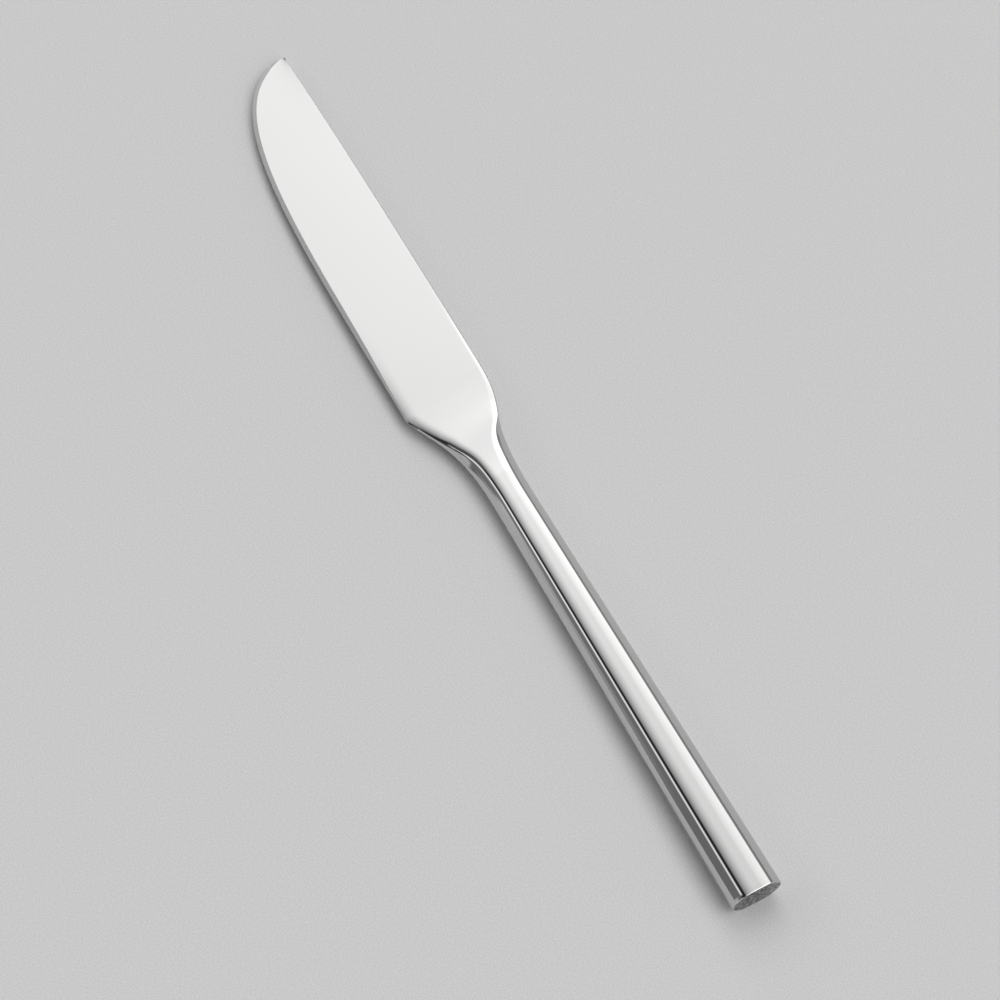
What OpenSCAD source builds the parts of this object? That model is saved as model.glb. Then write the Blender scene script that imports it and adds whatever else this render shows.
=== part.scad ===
// Table knife with a hollow handle. The blade, its neck and its tang are one forging. The handle is
// two half shells round a hard filler, closed by a cap at the butt.
// X runs from the butt to the tip, the cutting edge is towards +Y, and the knife lies on the flat
// underside of its handle, at Z = 0.

/* [Knife] */
// Length from the butt to the tip of the blade
knife_len = 235; // [215:1:250]

/* [Handle] */
// Distance from the butt to the waist, where the shells end and the neck begins
waist_x = 104; // [95:1:112]
// Width of the handle at the butt
butt_w = 11.8; // [10.5:0.1:13]
// Thickness of the handle at the butt
butt_t = 8.4; // [7.6:0.1:9.4]
// Width of the handle at the waist
waist_w = 9.4; // [8.6:0.1:10.4]
// Thickness of the handle at the waist
waist_t = 6.2; // [5.6:0.1:6.8]
// Width of the two broad faces between their creases, at the butt
butt_face_w = 5.8; // [5.2:0.1:6.4]
// Width of the two broad faces between their creases, at the waist
waist_face_w = 4.4; // [4:0.1:4.8]
// Width over which a broad face rolls off on each side of its level middle, at the butt
butt_roll_w = 2; // [1.4:0.1:2.3]
// Width over which a broad face rolls off on each side of its level middle, at the waist
waist_roll_w = 1.6; // [1.1:0.1:1.8]
// Slope that a broad face reaches before its crease, in degrees
roll_angle = 11; // [6:1:14]
// Radius of the creases along the broad faces at the butt
butt_crease_r = 1.3; // [0.6:0.1:1.6]
// Radius of the creases along the broad faces at the waist
waist_crease_r = 1; // [0.4:0.1:1.2]
// Turn from the middle of a flank to each of its two borders at the butt, in degrees
butt_flank_turn = 3; // [0:1:6]
// Turn from the middle of a flank to each of its two borders at the waist, in degrees
waist_flank_turn = 10; // [0:1:12]
// Radius of the narrow edges at the butt
butt_edge_r = 2.2; // [1.6:0.1:2.6]
// Radius of the narrow edges at the waist
waist_edge_r = 1.2; // [0.9:0.1:1.6]
// Wall of the two half shells
shell_wall = 0.9; // [0.7:0.05:1]

/* [Butt cap] */
// Thickness of the cap's plate
cap_t = 1.2; // [0.8:0.1:2]
// Depth of the cap's plug inside the shells
cap_plug = 2.5; // [1.5:0.1:4]
// Rounding of the cap's outer rim
cap_rim = 0.3; // [0.1:0.05:0.5]

/* [Neck and tang] */
// Depth of the neck's rounded side behind the heel
neck_side_w = 1.3; // [0.8:0.1:1.6]
// Thickness of the blade where the neck runs out into it
heel_t = 2.4; // [2:0.1:2.8]
// Length of the neck's spigot inside the shells
spigot_len = 4; // [2:0.5:6]
// Length of the tang behind the spigot
tang_len = 46; // [30:1:55]
// Width of the tang
tang_w = 4.6; // [3.5:0.1:5]
// Thickness of the tang
tang_t = 2; // [1.5:0.1:2.2]
// Thickness of the braze between the neck and the shells
neck_braze_t = 0.2; // [0.1:0.05:0.4]
// Thickness of the braze between the two shells
seam_braze_t = 0.12; // [0.08:0.01:0.2]

/* [Blade] */
// Distance from the butt to the heel, where the cutting edge begins
heel_x = 133.6; // [129:0.2:137]
// Distance from the butt to the shoulder, where the neck runs out into the spine
shoulder_x = 138.8; // [135:0.2:144]
// Distance from the butt to the point where the cutting edge begins to curve
belly_x = 155; // [145:1:165]
// Distance from the handle's centre line to the spine
spine_off = 9.6; // [9:0.1:10.4]
// Distance from the handle's centre line to the cutting edge
edge_off = 11.7; // [10.8:0.1:12.8]
// Distance from the handle's centre line to the tip, on the spine's side
tip_off = 8.7; // [8:0.1:8.9]
// Width of the blunt nose that ends the tip
nose_w = 0.5; // [0.3:0.05:0.8]
// Thickness of the spine at the tip
tip_t = 1.2; // [0.9:0.1:1.4]
// Thickness behind the bevel at the heel
edge_t = 0.9; // [0.7:0.05:1.1]
// Thickness behind the bevel at the tip
edge_tip_t = 0.7; // [0.6:0.05:0.8]
// Width of the ground bevel along the belly
bevel_w = 1; // [0.6:0.1:1.3]
// Width of the ground bevel at the heel
bevel_heel_w = 0.35; // [0.3:0.05:0.5]
// Rounding of the spine's corners
spine_r = 0.3; // [0.15:0.05:0.35]
// Radius of the cutting edge
cut_r = 0.12; // [0.1:0.01:0.16]

/* [Hidden] */

// Clearance between pieces that seat on each other
fit_gap = 0.02;
// Gap kept between the blade's tip and the surface that the knife lies on
tip_gap = 0.1;
// Smallest radius left on an inner corner
least_r = 0.15;
// Radius of the tang's corners
tang_corner_r = 0.4;

// Counts of steps along the handle, the neck and the blade, and of points round each rounding
handle_steps = 9;
neck_steps = 18;
blade_steps = 26;
roll_steps = 3;
crease_steps = 4;
edge_steps = 5;
rim_steps = 4;

// Shares that shape the outline's curves, as parts of the stretch that each curve spans
neck_edge_reach_share = 0.585;
heel_run_share = 0.343;
heel_angle = 22.9;
neck_spine_reach_share = 0.749;
shoulder_run_share = 0.459;
belly_reach_share = 0.56;
front_rise_share = 0.969;
front_lean_share = 0.028;
// Windows, as shares of the neck, in which each measure changes from the handle's to the blade's
thin_window_shares = [0.12, 0.72];
wedge_window_shares = [0.55, 1.05];
roll_window_shares = [0.8, 1.1];
roll_fade_window_shares = [0.5, 1.1];
spine_corner_window_shares = [0.24, 0.52];
edge_side_window_shares = [0.12, 0.52];
bevel_window_shares = [0.68, 1];
// Part of the roll's width that is left at the heel, and how far the bevel takes to open, as a
// share of the blade
roll_left_share = 0.5;
bevel_open_share = 0.3;
// Largest parts of a side that its bevel, its roundings and its roll may take
bevel_limit_share = 0.7;
round_limit_share = 0.3;
roll_limit_share = 0.9;

// Half of the difference in thickness along the handle, for each length along it
taper = (butt_t - waist_t) / 2 / waist_x;
// Fall of the middle plane for each length along the knife as it lies, which stops where the tip
// would touch
fall = min(taper, (butt_t / 2 - tip_t / 2 - tip_gap) / knife_len);
centre_share = spine_off / (spine_off + edge_off);

function mix(a, b, t) = a + (b - a) * t;
function smooth(t) = let (c = max(0, min(1, t))) c * c * (3 - 2 * c);
function window(t, w) = smooth((t - w[0]) / (w[1] - w[0]));
function mid_z(x) = butt_t / 2 - fall * x;

// Point at t on the curve with four control points
function curve(p, t) = let (s = 1 - t)
    p[0] * s * s * s + p[1] * 3 * s * s * t + p[2] * 3 * s * t * t + p[3] * t * t * t;
function curve_way(p, t) = let (s = 1 - t)
    (p[1] - p[0]) * s * s + (p[2] - p[1]) * 2 * s * t + (p[3] - p[2]) * t * t;

// Plan curves of the two sides, as distances from the butt and from the handle's centre line
neck_slope = (waist_w - butt_w) / 2 / waist_x;
edge_span = heel_x - waist_x;
spine_span = shoulder_x - waist_x;
belly_span = knife_len - belly_x;
blade_span = knife_len - shoulder_x;
nose_off = tip_off - nose_w;
neck_edge = let (reach = edge_span * neck_edge_reach_share, run = edge_span * heel_run_share)
    [[waist_x, waist_w / 2], [waist_x + reach, waist_w / 2 + reach * neck_slope],
     [heel_x - run * cos(heel_angle), edge_off - run * sin(heel_angle)], [heel_x, edge_off]];
neck_spine = let (reach = spine_span * neck_spine_reach_share, run = spine_span * shoulder_run_share)
    [[waist_x, -waist_w / 2], [waist_x + reach, -waist_w / 2 - reach * neck_slope],
     [shoulder_x - run, -spine_off], [shoulder_x, -spine_off]];
belly = [[belly_x, edge_off], [belly_x + belly_span * belly_reach_share, edge_off],
         [knife_len - belly_span * front_lean_share,
          -nose_off + (nose_off + edge_off) * front_rise_share], [knife_len, -nose_off]];
spine = [[shoulder_x, -spine_off], [shoulder_x + blade_span / 3, -spine_off],
         [knife_len - blade_span / 3, -spine_off], [knife_len - nose_w, -tip_off]];
// Share of the blade's stations spent on the straight stretch between the heel and the belly
straight_share = (belly_x - heel_x) / (knife_len - heel_x);

// Points across one side of a section, from the end of the level middle to the widest point. From
// there the face rolls off from the slope a0 to a1 over the width rw, turns round the crease r1,
// goes down the flank, and turns round the narrow edge r3. A flat flank has the slope a2, at which
// the crease and the edge meet it without a break. The bulge of a flank is so slight that one face
// stands for it: turn is the angle between that face and each of its two borders.
function side(w, f, z, a0, a1, rw, r1, turn, r3, inset) =
    let (ri = max(r1 - inset, least_r), ro = max(r3 - inset, least_r), wi = w - inset,
         end = [f + rw, z - rw * (tan(a0) + tan(a1)) / 2] - inset * [sin(a1), cos(a1)],
         c = end - ri * [sin(a1), cos(a1)],
         a = wi - ro - c[0],
         a2 = atan2(c[1], a) + asin(max(-1, min(1, (ri - ro) / norm([a, c[1]])))),
         a3 = min(90, a2 + turn))
    concat([for (i = [0 : roll_steps])
                let (t = i / roll_steps, k = mix(tan(a0), tan(a1), t), slope = atan(k))
                [f + rw * t, z - rw * t * (tan(a0) + k) / 2] - inset * [sin(slope), cos(slope)]],
           [for (i = [1 : crease_steps]) let (t = mix(a1, a2 - turn, i / crease_steps))
                c + ri * [sin(t), cos(t)]],
           [for (i = [0 : edge_steps]) let (t = mix(a3, 90, i / edge_steps))
                [wi - ro + ro * sin(t), ro * cos(t)]]);

function reversed(v) = [for (i = [len(v) - 1 : -1 : 0]) v[i]];

// Upper outline of a section, from the cutting edge's side to the spine's, as distances across and
// up from the middle. Each side is [half width, depth of the slanted side, crease radius, turn of
// the flank, edge radius, half thickness], and roll holds the width and the slope of the roll.
function upper(e, s, roll, inset) =
    let (tilt = atan((s[5] - e[5]) / (s[0] + e[0])),
         middle = mix(s[5], e[5], s[0] / (s[0] + e[0])),
         ae = roll[1] + tilt, we = e[0] - max(e[1], e[2] * (1 - sin(ae))),
         as = roll[1] - tilt, ws = s[0] - max(s[1], s[2] * (1 - sin(as))),
         re = min(roll[0], we * roll_limit_share), fe = we - re,
         rs = min(roll[0], ws * roll_limit_share), fs = ws - rs,
         right = side(e[0], fe, middle - fe * tan(tilt), tilt, ae, re, e[2], e[3], e[4], inset),
         left = side(s[0], fs, middle + fs * tan(tilt), -tilt, as, rs, s[2], s[3], s[4], inset))
    concat(reversed(right), [for (p = left) [-p[0], p[1]]]);

// Sections are numbered along the knife: 0 to 1 over the handle, 1 to 2 over the neck, and 2 to 3
// over the blade. plan gives the two ends of a section's chord.
function plan(u) = u <= 1
    ? let (x = waist_x * u, w = mix(butt_w, waist_w, u) / 2) [[x, w], [x, -w]]
    : u <= 2 ? [curve(neck_edge, u - 1), curve(neck_spine, u - 1)]
    : let (v = u - 2)
      [v < straight_share ? [mix(heel_x, belly_x, v / straight_share), edge_off]
                          : curve(belly, (v - straight_share) / (1 - straight_share)),
       curve(spine, v)];

// Sine of the angle at which a section's chord meets the cutting edge
function crossing(u, chord) = u <= 2 + straight_share ? abs(chord[1]) / norm(chord)
    : let (way = curve_way(belly, (u - 2 - straight_share) / (1 - straight_share)))
      abs(way[0] * chord[1] - way[1] * chord[0]) / norm(way) / norm(chord);

function section(u, inset = 0) =
    let (n = u - 1, v = max(0, u - 2), ends = plan(u), chord = ends[0] - ends[1],
         share = u <= 2 ? -ends[1][1] / (ends[0][1] - ends[1][1]) : centre_share,
         we = norm(chord) * (1 - share), ws = norm(chord) * share,
         x = max(ends[0][0], ends[1][0]),
         h_roll_w = mix(butt_roll_w, waist_roll_w, min(1, u)),
         roll = [h_roll_w * mix(1, roll_left_share, window(n, roll_fade_window_shares)),
                 roll_angle * (1 - window(n, roll_window_shares))],
         face = butt_t / 2 - taper * x,
         core = mix(face, heel_t / 2, window(n, thin_window_shares)),
         he = mix(mix(core, edge_t / 2, window(n, wedge_window_shares)), edge_tip_t / 2, v),
         hs = mix(core, tip_t / 2, v),
         h_crease = mix(butt_crease_r, waist_crease_r, min(1, u)),
         h_turn = mix(butt_flank_turn, waist_flank_turn, min(1, u)),
         h_edge = mix(butt_edge_r, waist_edge_r, min(1, u)),
         h_side = mix(butt_w - butt_face_w, waist_w - waist_face_w, min(1, u)) / 2,
         // the cutting edge's side
         thin = window(n, edge_side_window_shares),
         ground = window(n, bevel_window_shares),
         bevel = mix(bevel_heel_w, bevel_w, smooth(v / bevel_open_share))
                 / crossing(u, chord),
         ge = min(mix(mix(h_side, neck_side_w, thin), bevel, ground), we * bevel_limit_share),
         re1 = min(mix(mix(h_crease, neck_side_w / 2, thin), cut_r, ground), we * round_limit_share),
         re3 = min(mix(mix(h_edge, neck_side_w / 2, thin), cut_r, ground), we * round_limit_share),
         // the spine's side
         square = window(n, spine_corner_window_shares),
         rs1 = min(mix(h_crease, spine_r, square), ws * round_limit_share),
         rs3 = mix(h_edge, rs1, square),
         gs = mix(h_side, rs1, square),
         way = chord / norm(chord), o = mix(ends[1], ends[0], share))
    [for (p = upper([we, ge, re1, h_turn * (1 - thin), re3, he],
                    [ws, gs, rs1, h_turn * (1 - square), rs3, hs], roll, inset))
        [o[0] + way[0] * p[0], o[1] + way[1] * p[0], p[1]]];

// A point at height z above the middle plane, in the frame in which the knife lies
function laid(p) = [p[0], p[1], mid_z(p[0]) + p[2]];
function mirrored(points) = [for (p = points) [p[0], p[1], -p[2]]];
// Whole section: the upper outline, and back along its mirror image without the two shared points
function ring(upper_points) =
    let (below = reversed(mirrored(upper_points)), n = len(below))
    [for (p = concat(upper_points, [for (i = [1 : n - 2]) below[i]])) laid(p)];

// Skin over a row of rings with equal counts of points, where rings at one place along the knife
// make a flat step. Both ends are closed flat: a folded ring, which runs out along an outer line
// and back along an inner one, is closed by a strip between the two. A looped row is closed by
// joining its last ring to its first.
module skin(rings, looped = false, folded = false) {
    n = len(rings[0]);
    m = len(rings);
    strips = [for (i = [0 : looped ? m - 1 : m - 2]) for (j = [0 : n - 1])
        let (k = (i + 1) % m, l = (j + 1) % n, a = i * n + j, b = i * n + l, c = k * n + l, d = k * n + j)
        for (f = [[a, c, b], [a, d, c]]) f];
    z = (m - 1) * n;
    ends = looped ? [] : folded
        ? [for (j = [0 : n / 2 - 2]) let (a = j, b = j + 1, c = n - 2 - j, d = n - 1 - j)
            for (f = [[a, b, c], [a, c, d], [z + a, z + c, z + b], [z + a, z + d, z + c]]) f]
        : [[for (j = [0 : n - 1]) j], [for (j = [n - 1 : -1 : 0]) z + j]];
    polyhedron([for (r = rings) for (p = r) p], concat(strips, ends), convexity = 6);
}

module stand() {
    translate([-knife_len / 2, -(edge_off - spine_off) / 2, 0])
        children();
}

// Sections of the handle between two distances from the butt
function handle_rows(from_x, to_x, inset) =
    [for (i = [0 : handle_steps]) section(mix(from_x, to_x, i / handle_steps) / waist_x, inset)];

shell_start = cap_t;
shell_end = waist_x - neck_braze_t;
spigot_end = shell_end - spigot_len;
filler_start = cap_t + cap_plug + fit_gap;
filler_end = spigot_end - fit_gap;
tang_end = spigot_end - tang_len;

// Round-cornered section of the tang, larger by grow on every side
function tang_ring(x, grow) =
    let (w = tang_w / 2 + grow, h = tang_t / 2 + grow, r = tang_corner_r + grow,
         level = (w - r) / 2,
         quarter = side(w, level, h, 0, 0, w - r - level, r, 0, r, 0),
         up = concat(reversed(quarter), [for (p = quarter) [-p[0], p[1]]]))
    ring([for (p = up) [x, p[0], p[1]]]);

// Blade, neck, spigot and tang, as one forging
module blade() {
    rows = concat(
        [tang_ring(tang_end, 0), tang_ring(spigot_end, 0),
         ring(section(spigot_end / waist_x, shell_wall + fit_gap)),
         ring(section(1, shell_wall + fit_gap))],
        [for (i = [0 : neck_steps]) ring(section(1 + i / neck_steps))],
        [for (i = [1 : blade_steps]) ring(section(2 + i / blade_steps))]);
    color("silver") stand() skin(rows);
}

// Upper outline of a section, raised at its ends by half of the seam's braze
function raised(points) = let (top = max([for (p = points) p[2]]))
    [for (p = points) [p[0], p[1], mix(seam_braze_t / 2, top, p[2] / top)]];

// Half of the handle's skin above the middle plane, or below it when side_sign is -1
module half_shell(side_sign) {
    outer = handle_rows(shell_start, shell_end, 0);
    inner = handle_rows(shell_start, shell_end, shell_wall);
    rows = [for (i = [0 : handle_steps])
        [for (p = concat(raised(outer[i]), reversed(raised(inner[i]))))
            laid([p[0], p[1], side_sign * p[2]])]];
    stand() skin(side_sign > 0 ? rows : [for (r = rows) reversed(r)], folded = true);
}

module upper_handle_shell() {
    color("gainsboro") half_shell(1);
}

module lower_handle_shell() {
    color("darkgray") half_shell(-1);
}

// Plate that closes the butt, with a plug inside the shells
module butt_cap() {
    plate = cap_t / waist_x;
    plug = (cap_t + cap_plug) / waist_x;
    inset = shell_wall + fit_gap;
    rim = [for (i = [0 : rim_steps]) let (t = 90 * i / rim_steps)
        ring(section(cap_rim * (1 - cos(t)) / waist_x, cap_rim * (1 - sin(t))))];
    color("lightgray") stand() skin(concat(rim,
        [ring(section(plate)), ring(section(plate, inset)), ring(section(plug, inset))]));
}

// Hard filler between the cap and the neck, with the blind slot that holds the tang
module handle_filler() {
    rows = handle_rows(filler_start, filler_end, shell_wall + fit_gap);
    color("tan") stand() skin(concat(
        [for (r = rows) ring(r)],
        [tang_ring(filler_end, fit_gap), tang_ring(tang_end - fit_gap, fit_gap)]));
}

// Ring of braze between the neck's shoulder and the ends of the shells
module neck_braze() {
    u = shell_end / waist_x;
    color("gold") stand() skin(
        [ring(section(u)), ring(section(1)), ring(section(1, shell_wall)), ring(section(u, shell_wall))],
        looped = true);
}

// The two strips of braze between the edges of the shells
module seam_braze() {
    outer = handle_rows(shell_start, shell_end, 0);
    last = len(outer[0]) - 1;
    function strip(i, k, way) = let (p = outer[i][k], z = seam_braze_t / 2)
        [for (c = [[0, z], [-way * shell_wall, z], [-way * shell_wall, -z], [0, -z]])
            laid([p[0], p[1] + c[0], c[1]])];
    color("goldenrod") stand() {
        skin([for (i = [0 : handle_steps]) strip(i, 0, 1)]);
        skin([for (i = [0 : handle_steps]) reversed(strip(i, last, -1))]);
    }
}

blade();
upper_handle_shell();
lower_handle_shell();
butt_cap();
handle_filler();
neck_braze();
seam_braze();
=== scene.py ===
"""A polished table knife with a hollow handle, dressed over its CAD frame.

The blade with its neck and tang, the two half shells, the butt cap and the brazed joints are surfaces worked out from
the knife's own sizes. Each section across the knife is one outline, and a piece is that outline carried from the butt
to the tip.
"""

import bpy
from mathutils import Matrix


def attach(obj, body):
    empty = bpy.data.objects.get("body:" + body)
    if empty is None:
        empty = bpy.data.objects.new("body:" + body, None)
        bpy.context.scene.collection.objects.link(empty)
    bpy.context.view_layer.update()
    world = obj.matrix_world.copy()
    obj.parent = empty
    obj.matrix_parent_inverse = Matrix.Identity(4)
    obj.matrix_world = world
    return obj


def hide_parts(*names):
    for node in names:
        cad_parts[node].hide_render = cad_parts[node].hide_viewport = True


bl_info = {
    "name": "Table knife",
    "version": (1, 0, 0),
    "blender": (4, 5, 0),
    "location": "3D View > Sidebar > Table knife",
    "description": "Builds a polished table knife with its floor, light and camera",
    "category": "Add Mesh",
}

import math

import bpy
import numpy as np
from mathutils import Matrix

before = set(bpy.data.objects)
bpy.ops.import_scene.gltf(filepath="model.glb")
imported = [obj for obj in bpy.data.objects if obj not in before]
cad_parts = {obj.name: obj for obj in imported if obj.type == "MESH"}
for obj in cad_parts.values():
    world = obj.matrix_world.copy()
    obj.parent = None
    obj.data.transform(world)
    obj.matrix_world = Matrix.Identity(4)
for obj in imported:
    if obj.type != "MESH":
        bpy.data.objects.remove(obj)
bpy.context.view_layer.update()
BODY = "root"
MM = 0.001

# Steps along each stretch of the knife and across each part of a section
HANDLE_STEPS, NECK_STEPS, BLADE_STEPS, RIM_STEPS = 24, 110, 150, 8
LEVEL_STEPS, ROLL_STEPS, CREASE_STEPS, FLANK_STEPS, EDGE_STEPS = 6, 10, 14, 5, 16


def length(name, value, description, low=0.0, high=0.5):
    """A size in metres, given in millimetres."""
    return bpy.props.FloatProperty(
        name=name, description=description, default=value * MM, min=low, soft_max=high, precision=5, unit="LENGTH"
    )


def share(name, value, description, high=1.0):
    """A plain number between 0 and high."""
    return bpy.props.FloatProperty(name=name, description=description, default=value, min=0.0, max=high, precision=3)


def angle(name, degrees, description):
    """An angle, given in degrees."""
    return bpy.props.FloatProperty(
        name=name, description=description, default=math.radians(degrees), subtype="ANGLE", unit="ROTATION"
    )


def tint(name, value, description):
    """A linear colour."""
    return bpy.props.FloatVectorProperty(
        name=name, description=description, default=value, subtype="COLOR", size=3, min=0.0, max=1.0
    )


class KnifeSizes(bpy.types.PropertyGroup):
    """Sizes of the knife.

    The creases, the narrow edge and the flanks' turn at the butt, and the neck's side on the cutting edge's side are
    finer here than in the CAD frame. The rest are the same.
    """

    knife_len: length("Length", 235, "From the butt to the tip")
    waist_x: length("Waist", 104, "From the butt to the waist, where the shells end")
    butt_w: length("Butt width", 11.8, "Width of the handle at the butt")
    butt_t: length("Butt thickness", 8.4, "Thickness of the handle at the butt")
    waist_w: length("Waist width", 9.4, "Width of the handle at the waist")
    waist_t: length("Waist thickness", 6.2, "Thickness of the handle at the waist")
    butt_face_w: length("Butt face", 5.8, "Width of a broad face between its creases at the butt")
    waist_face_w: length("Waist face", 4.4, "Width of a broad face between its creases at the waist")
    butt_roll_w: length("Butt roll", 2.0, "Width over which a broad face rolls off on each side at the butt")
    waist_roll_w: length("Waist roll", 1.6, "Width over which a broad face rolls off on each side at the waist")
    roll_angle: angle("Roll angle", 11, "Slope that a broad face reaches before its crease")
    butt_crease_r: length("Butt crease radius", 2.0, "Radius of the creases at the butt")
    waist_crease_r: length("Waist crease radius", 1.5, "Radius of the creases at the waist")
    butt_flank_turn: angle("Butt flank turn", 2.0, "Turn from the middle of a flank to its borders at the butt")
    waist_flank_turn: angle("Waist flank turn", 10.0, "Turn from the middle of a flank to its borders at the waist")
    butt_edge_r: length("Butt edge radius", 3.6, "Radius of the narrow edges at the butt")
    waist_edge_r: length("Waist edge radius", 1.2, "Radius of the narrow edges at the waist")
    shell_wall: length("Shell wall", 0.9, "Wall of the half shells")
    cap_t: length("Cap plate", 1.2, "Thickness of the butt cap's plate")
    cap_plug: length("Cap plug", 2.5, "Depth of the cap's plug inside the shells")
    cap_rim: length("Cap rim", 0.3, "Rounding of the cap's outer rim")
    neck_crease_r: length("Neck crease radius", 1.5, "Radius of the neck's crease on the cutting edge's side")
    neck_edge_r: length("Neck edge radius", 0.35, "Radius of the neck's narrow edge on the cutting edge's side")
    neck_flank: angle("Neck flank", 60, "Slope of the neck's flank on the cutting edge's side")
    heel_t: length("Heel thickness", 2.4, "Thickness of the blade behind the neck")
    spigot_len: length("Spigot length", 4, "Length of the neck's spigot inside the shells")
    tang_len: length("Tang length", 46, "Length of the tang behind the spigot")
    tang_w: length("Tang width", 4.6, "Width of the tang")
    tang_t: length("Tang thickness", 2, "Thickness of the tang")
    neck_braze_t: length("Neck braze", 0.2, "Thickness of the braze between the neck and the shells")
    seam_braze_t: length("Seam braze", 0.12, "Thickness of the braze between the shells")
    heel_x: length("Heel", 133.6, "From the butt to the heel, where the cutting edge begins")
    shoulder_x: length("Shoulder", 138.8, "From the butt to the shoulder, where the spine begins")
    belly_x: length("Belly", 155.0, "From the butt to the start of the cutting edge's curve")
    spine_off: length("Spine offset", 9.6, "From the centre line to the spine")
    edge_off: length("Edge offset", 11.7, "From the centre line to the cutting edge")
    tip_off: length("Tip offset", 8.7, "From the centre line to the tip")
    nose_w: length("Nose", 0.5, "Width of the blunt nose that ends the tip")
    tip_t: length("Tip thickness", 1.2, "Thickness of the spine at the tip")
    edge_t: length("Edge thickness", 0.9, "Thickness behind the bevel at the heel")
    edge_tip_t: length("Edge thickness at the tip", 0.7, "Thickness behind the bevel at the tip")
    bevel_w: length("Bevel", 1.0, "Width of the ground bevel along the belly")
    bevel_heel_w: length("Bevel at the heel", 0.35, "Width of the ground bevel at the heel")
    spine_r: length("Spine rounding", 0.3, "Rounding of the spine's corners")
    cut_r: length("Edge radius", 0.12, "Radius of the cutting edge")
    fit_gap: length("Fit gap", 0.02, "Clearance between seated pieces")
    tip_gap: length("Tip gap", 0.1, "Gap between the tip and the floor")
    least_r: length("Least radius", 0.15, "Smallest radius left on an inner corner")
    tang_corner_r: length("Tang corners", 0.4, "Radius of the tang's corners")


class KnifeFinish(bpy.types.PropertyGroup):
    """Colours and finishes of the knife."""

    steel: tint("Steel", (0.6, 0.6, 0.596), "Colour of the polished steel")
    filler: tint("Filler", (0.25, 0.225, 0.185), "Colour of the filler inside the handle")
    polish: share("Polish roughness", 0.025, "Roughness of the polished faces")
    # The end face's dark and pale colours are a painted reflection of the floor's grain in the shade below the butt
    end_reflection_dark: tint("End face, dark", (0.02, 0.02, 0.02), "Darkest colour of the butt's mottled end face")
    end_reflection_pale: tint("End face, pale", (0.4, 0.4, 0.396), "Palest colour of the butt's mottled end face")
    ground: share("Ground roughness", 0.6, "Roughness of the ground bevel")
    ripple: length("Polish ripple", 0.0004, "Height of the slight waviness that polishing leaves")


class KnifeStudio(bpy.types.PropertyGroup):
    """Floor, light and camera."""

    floor: tint("Floor", (0.77, 0.77, 0.77), "Colour of the floor")
    grain: share("Floor grain", 0.1, "Strength of the floor's fine grain")
    brightness: share("Brightness", 1.2, "Strength of the studio light", 4.0)
    backdrop: share("Backdrop", 0.62, "Brightness of the backdrop past the floor, which only the camera sees")
    distance: length("Camera distance", 708.5, "From the camera to the middle of the picture on the floor", high=2.0)
    tilt: angle("Camera tilt", 26.709, "Lean of the camera from straight down")
    turn: angle("Knife turn", 118.493, "Direction of the knife's axis in the picture")
    butt_right: length("Butt to the right", 53.248, "Place of the butt, right of the middle of the picture", low=-0.5)
    butt_up: length("Butt upwards", -93.989, "Place of the butt, above the middle of the picture", low=-0.5)
    focal: length("Focal length", 115.2, "Focal length for a film 36 mm wide")


# Shares that shape the outline's curves, the same as in the CAD frame
NECK_EDGE_REACH, HEEL_RUN, HEEL_ANGLE = 0.585, 0.343, math.radians(22.9)
NECK_SPINE_REACH, SHOULDER_RUN = 0.749, 0.459
BELLY_REACH, FRONT_RISE, FRONT_LEAN = 0.56, 0.969, 0.028

# Windows, as shares of the neck, in which each measure changes from the handle's to the blade's. These two for the
# roll, ROLL_WINDOW and ROLL_GROW_WINDOW, aren't the CAD frame's, and neither are ROLL_GROWN, BEVEL_LEFT,
# BEVEL_FADE_WINDOW, EDGE_ROUND_LIMIT and CREASE_SHARE below
THIN_WINDOW, WEDGE_WINDOW = (0.12, 0.72), (0.55, 1.05)
ROLL_WINDOW, ROLL_FADE_WINDOW, ROLL_GROW_WINDOW = (0.8, 1.3), (0.5, 1.1), (0.4, 0.8)
SPINE_CORNER_WINDOW, EDGE_SIDE_WINDOW, BEVEL_WINDOW = (0.24, 0.52), (0.12, 0.52), (0.68, 1.0)
BEVEL_FINISH_WINDOW = (0.96, 1.02)

# The roll's width in the neck, on the spine's side and on the cutting edge's, as shares of its width at the waist
ROLL_LEFT, ROLL_GROWN = 0.5, 1.6

# The bevel opens over a first share of the blade, and narrows to a share of its width in a window of the blade
BEVEL_OPEN, BEVEL_LEFT, BEVEL_FADE_WINDOW = 0.3, 0.25, (0.88, 1.0)

# Most of a side's width that its bevel, its rounds and its roll may take, and of the neck's drop that its crease may
BEVEL_LIMIT, ROUND_LIMIT, EDGE_ROUND_LIMIT, ROLL_LIMIT, CREASE_SHARE = 0.7, 0.3, 0.65, 0.9, 0.7

# Faces that meet at more than this angle keep a sharp border
SHARP_ANGLE = math.radians(32.0)

# The mark on the points of the bevel and of the butt's end face, which their finishes read
# On the end face the mark sets a painted reflection of the floor in the shade below the butt
MARK = "ground"

# Patterns in the finishes: cycles of noise to a metre along the knife, across it and upwards, and detail
HAIRLINES = ((90.0, 5200.0, 5200.0), 3.0)
CLOUDS = ((70.0, 120.0, 120.0), 2.0)
RIPPLES = ((180.0, 320.0, 320.0), 1.0)
SCORES = ((9000.0, 500.0, 500.0), 2.0)
# Spots for the end face's painted reflection of the shaded floor's grain
REFLECTION_SPOTS = ((1200.0, 1200.0, 1200.0), 3.0)
SPECKLE = ((2500.0, 2500.0, 2500.0), 4.0)
FLOOR_GRAIN = ((3200.0, 3200.0, 3200.0), 2.0)

# Between which values most of a noise lies
NOISE_LOW, NOISE_HIGH = 0.3, 0.7

# How far hairlines and clouds change the gloss, as factors
GLOSS_SPREAD, CLOUD_SPREAD = (0.8, 1.25), (0.9, 1.2)
SCORE_STRENGTH, SCORE_DEPTH = 0.5, 0.00001
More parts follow.
